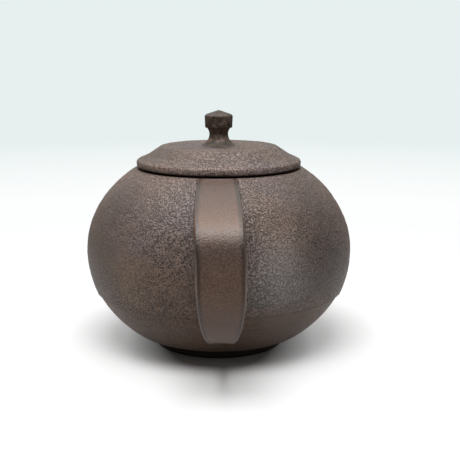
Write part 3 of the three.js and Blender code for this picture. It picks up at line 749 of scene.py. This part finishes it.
# Painted shade: a dark line inside each edge of the strap
edge_shade = add(tree, "ValToRGB", {"Fac": inside_edge},
             stops=[(share, (tone, tone, tone, 1)) for share, tone in EDGE_SHADE_TONES])
flecked = add(tree, "Mix", {
    "Factor": 1.0, "A": painted_light_bands, "B": fleck}, data_type="RGBA", blend_type="MULTIPLY")
edge_shaded = add(tree, "Mix", {
    "Factor": 1.0, "A": flecked, "B": edge_shade}, data_type="RGBA", blend_type="MULTIPLY")
drag = add(tree, "Bump", {"Height": streaks, "Strength": 1, "Distance": STREAK_DEPTH})
sand = add(tree, "Bump", {
    "Height": grains, "Strength": 1, "Distance": WIPED_SAND_DEPTH, "Normal": drag})
fired_clay = add(tree, "BsdfPrincipled", {"Base Color": edge_shaded, "Roughness": sheen, "Normal": sand})
add(tree, "OutputMaterial", {"Surface": fired_clay})

strap.data.materials.append(wiped_clay)
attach(strap, "pot")
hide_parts("handle")

# Lid
# A thrown plate that lies on the mouth: a thick rim, a shallow slope, a steeper one and a flat
# top. Its skin is finer than the body's, and the trimming tool chattered round the rim.

lid_low, lid_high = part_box("lid")
LID_RIM_LIFT = 0.7 * MM        # how far the rim stays above the part of the lid that rests
LID_RIM_HEIGHT = 2.2 * MM
LID_REST_WIDTH = 3.9 * MM      # ring of the underside that rests on the mouth
LID_BREAK_RADIUS = 27.1 * MM   # where the shallow slope meets the steep one
LID_BREAK_RISE = 4.7 * MM
LID_TOP_RADIUS = 21.9 * MM
LID_WALL = 3.2 * MM
LID_HOLLOW_ROUNDINGS = (1 * MM, 0.3 * MM, 0.4 * MM)   # up inside, at the collar, at the seat
LID_RIM_ROUNDINGS = (0.5 * MM, 0.9 * MM)
LID_TOP_ROUNDINGS = (0.4 * MM, 0.7 * MM)   # where the slopes meet, and round the flat top
LID_SPACING = 0.5 * MM
LID_STEPS = 360
FLANGE_CLEARANCE = 0.5 * MM
FLANGE_WALL = 3 * MM
VENT_RADIUS = 1.3 * MM
VENT_OFFSET = 12.5 * MM        # from the knob's axis, towards the spout
VENT_SIDES = 40
LID_LUMPS = (2 * MM, 0.12 * MM)
FACE_START = 0.5 * MM          # the upper face starts this far below the rim's edge
FACE_LEAN = 0.2                # and points up at least this much
RIM_CHATTER = (1.3 * MM, 0.36 * MM)   # from one mark of the tool to the next, and their depth
CHATTER_WIDTH = 1.5 * MM       # how far in from the edge the tool chattered
CHATTER_START = 0.2 * MM       # and how far above the seat

lid_radius = lid_high.x
lid_rest = lid_low.z
lid_top = lid_high.z
rim_bottom = lid_rest + LID_RIM_LIFT
rim_top = rim_bottom + LID_RIM_HEIGHT
collar_outer = MOUTH_RADIUS - FLANGE_CLEARANCE
collar_inner = collar_outer - FLANGE_WALL
lid_outline = softened([
    (0, lid_top - LID_WALL, 0),
    (LID_TOP_RADIUS - LID_WALL, lid_top - LID_WALL, LID_HOLLOW_ROUNDINGS[0]),
    (collar_inner, lid_rest, LID_HOLLOW_ROUNDINGS[1]),
    (MOUTH_RADIUS + LID_REST_WIDTH, lid_rest, LID_HOLLOW_ROUNDINGS[2]),
    (lid_radius, rim_bottom, LID_RIM_ROUNDINGS[0]), (lid_radius, rim_top, LID_RIM_ROUNDINGS[1]),
    (LID_BREAK_RADIUS, lid_rest + LID_BREAK_RISE, LID_TOP_ROUNDINGS[0]),
    (LID_TOP_RADIUS, lid_top, LID_TOP_ROUNDINGS[1]), (0, lid_top, 0)], LID_SPACING)
lid = throw("lid_plate", lid_outline, LID_STEPS)
upper_face = lid.vertex_groups.new(name="skin")
rim_face = lid.vertex_groups.new(name="rim")
for vertex in lid.data.vertices:
    x, y, z = vertex.co
    if z > rim_top - FACE_START and vertex.normal.z > FACE_LEAN:
        upper_face.add([vertex.index], 1, "REPLACE")
    if math.hypot(x, y) > lid_radius - CHATTER_WIDTH and z > lid_rest + CHATTER_START:
        rim_face.add([vertex.index], 1, "REPLACE")
uneven(lid, "skin", *LID_LUMPS)
uneven(lid, "rim", *RIM_CHATTER)
bpy.ops.object.select_all(action="DESELECT")
bpy.ops.mesh.primitive_cylinder_add(vertices=VENT_SIDES, radius=VENT_RADIUS, depth=4 * LID_WALL,
                                    location=(0, VENT_OFFSET, lid_top))
vent = bpy.context.object
finish_with(lid, "BOOLEAN", operation="DIFFERENCE", object=vent, solver="EXACT")
bpy.data.objects.remove(vent)
round_off(lid, SHELL_EDGE)

# Fine crepe stoneware: the body's clay and fire, but the plate was thrown thinner, so its skin
# wrinkled less deep and the painted shade in its creases stays paler. More of its sand grains
# stand out, and they glint in the light. Light is painted onto the upright rim, so that it is the
# palest part.
LID_WRINKLE = 0.8 * MM
LID_CREASE_DEPTH = 0.66 * MM
LID_SAND_DEPTH = 0.2 * MM
# painted light on the upright rim
LID_RIM_LIGHT = 1.42
LID_CLAY = [("wrinkles", "Scale", WRINKLE_WAVES / LID_WRINKLE),   # node, input and its value
            ("painted_crease_shade", "To Min", 0.66),
            ("painted_crease_shade", "To Max", 0.4),
            ("painted_ridge_light", "To Max", 0.97),
            ("calm", "To Max", 1),
            ("level", "From Min", rim_top),
            ("level", "From Max", rim_top + MM),
            ("level", "To Min", LID_RIM_LIGHT),
            ("skin_relief", "Distance", LID_CREASE_DEPTH),
            ("sand_relief", "Distance", LID_SAND_DEPTH)]
lid_clay = crepe_clay.copy()
lid_clay.name = "fine_crepe_stoneware"
for node_name, socket, value in LID_CLAY:
    lid_clay.node_tree.nodes[node_name].inputs[socket].default_value = value

lid.data.materials.append(lid_clay)
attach(lid, "lid")
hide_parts("lid")

# Collar
# A short ring under the lid that drops into the mouth and keeps the lid from sliding off when
# tea is poured. It is luted to the plate and trimmed to a slight taper.

collar_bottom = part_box("lid_flange")[0].z
COLLAR_TAPER = 0.5 * MM
COLLAR_BURY = 0.3 * MM         # how far it goes up into the plate
COLLAR_SPREAD = 0.4 * MM       # how far the slip spreads inwards there
COLLAR_ROUNDINGS = (1 * MM, 0.7 * MM)   # where the taper starts, and round the lower edges
COLLAR_SPACING = 0.8 * MM
COLLAR_STEPS = 240

collar_top = lid_rest + COLLAR_BURY
collar_outline = softened([
    (collar_outer, collar_top, 0),
    (collar_outer, (collar_bottom + collar_top) / 2, COLLAR_ROUNDINGS[0]),
    (collar_outer - COLLAR_TAPER, collar_bottom, COLLAR_ROUNDINGS[1]),
    (collar_inner + COLLAR_TAPER, collar_bottom, COLLAR_ROUNDINGS[1]),
    (collar_inner - COLLAR_SPREAD, collar_top, 0), (collar_outer, collar_top, 0)], COLLAR_SPACING)
collar = throw("lid_collar", collar_outline, COLLAR_STEPS)
round_off(collar, RING_EDGE)
collar.data.materials.append(trimmed_clay)
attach(collar, "lid")
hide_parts("lid_flange")

# Knob
# Turned on its own and luted to the middle of the lid: a flared foot, a narrow neck and a low
# drum with a shallow cone on top. It was handled smooth, and the fire left it mottled.

knob_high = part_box("knob")[1]
KNOB_BURY = 0.15 * MM          # how far its foot goes down into the lid
KNOB_SPREAD = 0.4 * MM         # how far the slip spreads round the foot
KNOB_NECK_RADIUS = 3.55 * MM
KNOB_NECK_HEIGHT = 4.2 * MM
KNOB_FOOT_BEND = (3.75 * MM, 1.4 * MM)   # radius and height that the foot's flare bends round
KNOB_HEAD_LOW_RADIUS = 5.15 * MM
KNOB_HEAD_HIGH_RADIUS = 5.35 * MM
KNOB_HEAD_BOTTOM = 6.7 * MM
KNOB_HEAD_TOP = 11.6 * MM
KNOB_EDGE = 0.7 * MM
KNOB_EDGE_LEVELS = (-0.3 * MM, 0.2 * MM)   # of the bevel round the drum's top, from its level
KNOB_TIP = (0.5 * MM, 0.1 * MM)   # radius and drop of the blunted point
KNOB_ROUNDINGS = (0.5 * MM, 0.4 * MM)   # lower edge and tip, and the drum's two upper edges
KNOB_SPACING = 0.4 * MM
KNOB_STEPS = 120
KNOB_WAIST_STEPS = 9           # in each of the waist's two curves

head_bottom = lid_top + KNOB_HEAD_BOTTOM
head_top = lid_top + KNOB_HEAD_TOP
neck = lid_top + KNOB_NECK_HEIGHT
knob_bottom = lid_top - KNOB_BURY
foot_curve = [Vector((knob_high.x + KNOB_SPREAD, knob_bottom)),
              Vector((KNOB_FOOT_BEND[0], lid_top + KNOB_FOOT_BEND[1])),
              Vector((KNOB_NECK_RADIUS, neck))]
head_curve = [Vector((KNOB_NECK_RADIUS, neck)),
              Vector((KNOB_NECK_RADIUS, (neck + head_bottom) / 2)),
              Vector((KNOB_HEAD_LOW_RADIUS - KNOB_EDGE, head_bottom))]
waist_line = []
for bend in (foot_curve, head_curve):
    waist_line += [tuple(curve(*bend, i / KNOB_WAIST_STEPS)) for i in range(KNOB_WAIST_STEPS)]
head = softened([
    (KNOB_HEAD_LOW_RADIUS - KNOB_EDGE, head_bottom, 0),
    (KNOB_HEAD_LOW_RADIUS, head_bottom, KNOB_ROUNDINGS[0]),
    (KNOB_HEAD_HIGH_RADIUS, head_top + KNOB_EDGE_LEVELS[0], KNOB_ROUNDINGS[1]),
    (KNOB_HEAD_HIGH_RADIUS - KNOB_EDGE, head_top + KNOB_EDGE_LEVELS[1], KNOB_ROUNDINGS[1]),
    (KNOB_TIP[0], knob_high.z - KNOB_TIP[1], KNOB_ROUNDINGS[0]),
    (0, knob_high.z, 0)], KNOB_SPACING)
knob = throw("lid_knob", [(0, knob_bottom)] + waist_line + head, KNOB_STEPS)
round_off(knob, SHELL_EDGE)

# Mottled stoneware: the knob stands highest in the fire, which left it in darker and paler
# spots. Painted light and shade by height make its foot, its drum and its top darker than the
# neck between them, which is painted light in the drum's shade. The surface is turned smooth but
# not wiped, so it is duller than the handle.
MOTTLE = 1.6 * MM
MOTTLE_PATCHES = (0.4, 0.62)
MOTTLE_COLOURS = (0x473A30, 0x74645A)
KNOB_ROUGHNESS = (0.42, 0.6)
KNOB_SAND = (0.9, 0.08 * MM)   # strength and depth of the grains
KNOB_PAINTED_LIGHT = [(0, 0.46), (1.3, 0.46), (2.2, 1), (6.3, 1), (6.9, 0.6), (11.3, 0.6),
              (11.9, 0.45)]    # heights above the lid in mm, and the painted light and shade there
knob_height = knob_high.z - lid_top
mottled_clay, tree = new_material("mottled_stoneware")
place = add(tree, "TexCoord").outputs["Object"]
spots = add(tree, "TexNoise", {"Vector": place, "Scale": 1 / MOTTLE, "Detail": 3, "Roughness": 0.6})
contrast = add(tree, "MapRange", {
    "Value": spots, "From Min": MOTTLE_PATCHES[0], "From Max": MOTTLE_PATCHES[1]})
mottled = add(tree, "Mix", {
    "Factor": contrast, "A": linear(MOTTLE_COLOURS[0]), "B": linear(MOTTLE_COLOURS[1])},
    data_type="RGBA")
grains = add(tree, "TexNoise", {"Vector": place, "Scale": 1 / GRAIN, "Detail": 2})
sheen = add(tree, "MapRange", {
    "Value": spots, "From Min": GRAIN_LEVELS[0], "From Max": GRAIN_LEVELS[1],
    "To Min": KNOB_ROUGHNESS[0], "To Max": KNOB_ROUGHNESS[1]})
bump = add(tree, "Bump", {"Height": grains, "Strength": KNOB_SAND[0], "Distance": KNOB_SAND[1]})
height_axis = add(tree, "SeparateXYZ", {"Vector": place})
above_lid = add(tree, "MapRange", {
    "Value": height_axis.outputs["Z"], "From Min": lid_top, "From Max": knob_high.z})
# Painted light and shade by height over the mottling
painted_light_by_height = add(tree, "ValToRGB", {"Fac": above_lid},
                stops=[(height * MM / knob_height, (tone, tone, tone, 1))
                       for height, tone in KNOB_PAINTED_LIGHT])
toned = add(tree, "Mix", {
    "Factor": 1.0, "A": mottled, "B": painted_light_by_height}, data_type="RGBA", blend_type="MULTIPLY")
fired_clay = add(tree, "BsdfPrincipled", {
    "Base Color": toned, "Roughness": sheen, "Normal": bump, "Specular IOR Level": 0.22})
add(tree, "OutputMaterial", {"Surface": fired_clay})

knob.data.materials.append(mottled_clay)
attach(knob, "lid")
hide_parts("knob")

# Table, light and camera
# The teapot stands on white paper that runs into a white backdrop. A wide softbox hangs over it,
# with a smaller one above the camera, and dim light comes from all round. Dark cards, which show
# in gloss alone, stand in for the unlit room.

FLOOR_SIZE = 8
FLOOR_FADE = (0.09, 0.3)       # distances between which the paper turns into the background
PAINTED_FILL_FADE = (0.028, 0.05)    # distances between which the paper glows, as painted light that fills the pot's shadow
PAINTED_FILL_OVAL = (1.35, 0.75, 1)  # it reaches further in at the pot's sides than in front
PAINTED_FILL_SHARE = 0.3
HORIZON_FADE = (0.35, 0.8)     # distances between which the paper's white turns cooler
NEAR_WHITE = 0xFDFEFE
FAR_WHITE = 0xE7F0EF
PAPER = 0xE0E0E0               # as it looks
PAPER_BOUNCE = 0x888684        # and as it lights the pot from below
PAPER_ROUGHNESS = 0.9
ROOM_LIGHT = 0.13
ROOM_TINT = 0xFFFBF7
bpy.ops.object.select_all(action="DESELECT")
bpy.ops.mesh.primitive_plane_add(size=FLOOR_SIZE)
table = bpy.context.object
table.name = "white_table"


def seen_directly(tree):
    """A node that is 1 for what the camera sees, also in gloss or through glass."""
    ray = add(tree, "LightPath")
    direct = add(tree, "Math", {
        0: ray.outputs["Is Camera Ray"], 1: ray.outputs["Is Glossy Ray"]}, operation="ADD")
    return add(tree, "Math", {
        0: direct, 1: ray.outputs["Is Transmission Ray"]}, operation="ADD", use_clamp=True)


# Matt white paper: it scatters the light evenly, so nothing shows on it but the pot's shadow,
# which a painted glow partly fills close to the pot.
table_paper, tree = new_material("matt_white_paper")
place = add(tree, "TexCoord").outputs["Object"]
away = add(tree, "VectorMath", {"Vector": place}, operation="LENGTH")
fade = add(tree, "MapRange", {
    "Value": away, "From Min": FLOOR_FADE[0], "From Max": FLOOR_FADE[1]},
    interpolation_type="SMOOTHSTEP")
# Painted light: the paper glows a little in the pot's shadow, more at its sides than in front
oval = add(tree, "VectorMath", {0: place, 1: PAINTED_FILL_OVAL}, operation="MULTIPLY")
around = add(tree, "VectorMath", {"Vector": oval}, operation="LENGTH")
filled = add(tree, "MapRange", {
    "Value": around, "From Min": PAINTED_FILL_FADE[0], "From Max": PAINTED_FILL_FADE[1],
    "To Max": PAINTED_FILL_SHARE})
share = add(tree, "Math", {0: fade, 1: filled}, operation="MAXIMUM")
seen = seen_directly(tree)
faded = add(tree, "Math", {0: share, 1: seen}, operation="MULTIPLY")
paper = add(tree, "Mix", {
    "Factor": seen, "A": linear(PAPER_BOUNCE), "B": linear(PAPER)}, data_type="RGBA")
sheet = add(tree, "BsdfPrincipled", {
    "Base Color": paper, "Roughness": PAPER_ROUGHNESS, "Specular IOR Level": 0.2})
far = add(tree, "MapRange", {
    "Value": away, "From Min": HORIZON_FADE[0], "From Max": HORIZON_FADE[1]})
paleness = add(tree, "Mix", {
    "Factor": far, "A": linear(NEAR_WHITE), "B": linear(FAR_WHITE)}, data_type="RGBA")
backdrop = add(tree, "Emission", {"Color": paleness})
blend = add(tree, "MixShader", {0: faded, 1: sheet, 2: backdrop})
add(tree, "OutputMaterial", {"Surface": blend})
table.data.materials.append(table_paper)

studio = bpy.data.worlds.new("white_studio")
bpy.context.scene.world = studio
studio.use_nodes = True
tree = studio.node_tree
tree.nodes.clear()
seen = seen_directly(tree)
strength = add(tree, "MapRange", {"Value": seen, "To Min": ROOM_LIGHT, "To Max": 1})
tint = add(tree, "Mix", {
    "Factor": seen, "A": linear(ROOM_TINT), "B": linear(FAR_WHITE)}, data_type="RGBA")
white = add(tree, "Background", {"Color": tint, "Strength": strength})
add(tree, "OutputWorld", {"Surface": white})

SOFTBOXES = [("softbox_top", (-0.03, 0.02, 1.0), (-0.03, 0.02, 0), (1.4, 1.24), 12.3),
             ("softbox_key", (-0.04, -0.36, 0.85), (0, 0, 0.04), (0.5, 0.4), 7)]
for name, place, aim, (width, depth), watts in SOFTBOXES:
    bpy.ops.object.light_add(type="AREA", location=place)
    lamp = bpy.context.object
    lamp.name = name
    lamp.rotation_euler = (Vector(aim) - Vector(place)).to_track_quat("-Z", "Y").to_euler()
    lamp.data.shape = "RECTANGLE"
    lamp.data.size = width
    lamp.data.size_y = depth
    lamp.data.energy = watts

CARD_BLACK = 0x2A2826
FLAT = (0, 0, 0)
FACING_Y = (math.pi / 2, 0, 0)
FACING_X = (math.pi / 2, 0, math.pi / 2)
CARDS = [("flag_front", (-0.1, -0.8, 0.38), FACING_Y, (1.5, 0.8)),
         ("flag_low", (-0.38, -0.457, 0.002), FLAT, (0.84, 0.69)),
         ("flag_left", (-0.8, 0, 0.46), FACING_X, (1.5, 0.92)),
         ("flag_right", (0.8, 0, 0.46), FACING_X, (1.5, 0.92)),
         ("flag_back", (0, 0.8, 0.14), FACING_Y, (1.5, 0.3)),
         ("flag_floor_left", (-0.48, 0.22, 0.002), FLAT, (0.64, 0.7)),
         ("flag_floor_right", (0.48, 0.1, 0.002), FLAT, (0.64, 0.9))]

# Black card: dark and without gloss, so what mirrors it in the clay's sheen stays deep.
dark_card, tree = new_material("black_card")
matt_card = add(tree, "BsdfPrincipled", {"Base Color": linear(CARD_BLACK), "Roughness": 1})
add(tree, "OutputMaterial", {"Surface": matt_card})
for name, place, turn, (width, height) in CARDS:
    bpy.ops.object.select_all(action="DESELECT")
    bpy.ops.mesh.primitive_plane_add(size=1, location=place, rotation=turn)
    card = bpy.context.object
    card.name = name
    card.scale = (width, height, 1)
    bpy.ops.object.transform_apply(location=True, rotation=True, scale=True)
    card.visible_camera = False
    card.visible_diffuse = False
    card.visible_shadow = False
    card.visible_transmission = False
    card.data.materials.append(dark_card)

CAMERA_PLACE = (0, -0.3319, 0.1113)
CAMERA_DROP = math.radians(11.55)
CAMERA_TURN = math.radians(-0.74)
FOCAL_PIXELS = 871.1           # focal length in pixels of the photograph's frame
FRAME_PIXELS = 460
SENSOR = 36
bpy.ops.object.camera_add(location=CAMERA_PLACE,
                          rotation=(math.pi / 2 - CAMERA_DROP, 0, CAMERA_TURN))
camera = bpy.context.object
camera.data.sensor_width = SENSOR
camera.data.lens = SENSOR * FOCAL_PIXELS / FRAME_PIXELS
camera.data.clip_start = 0.01
bpy.context.scene.camera = camera
bpy.context.scene.view_settings.view_transform = "Standard"
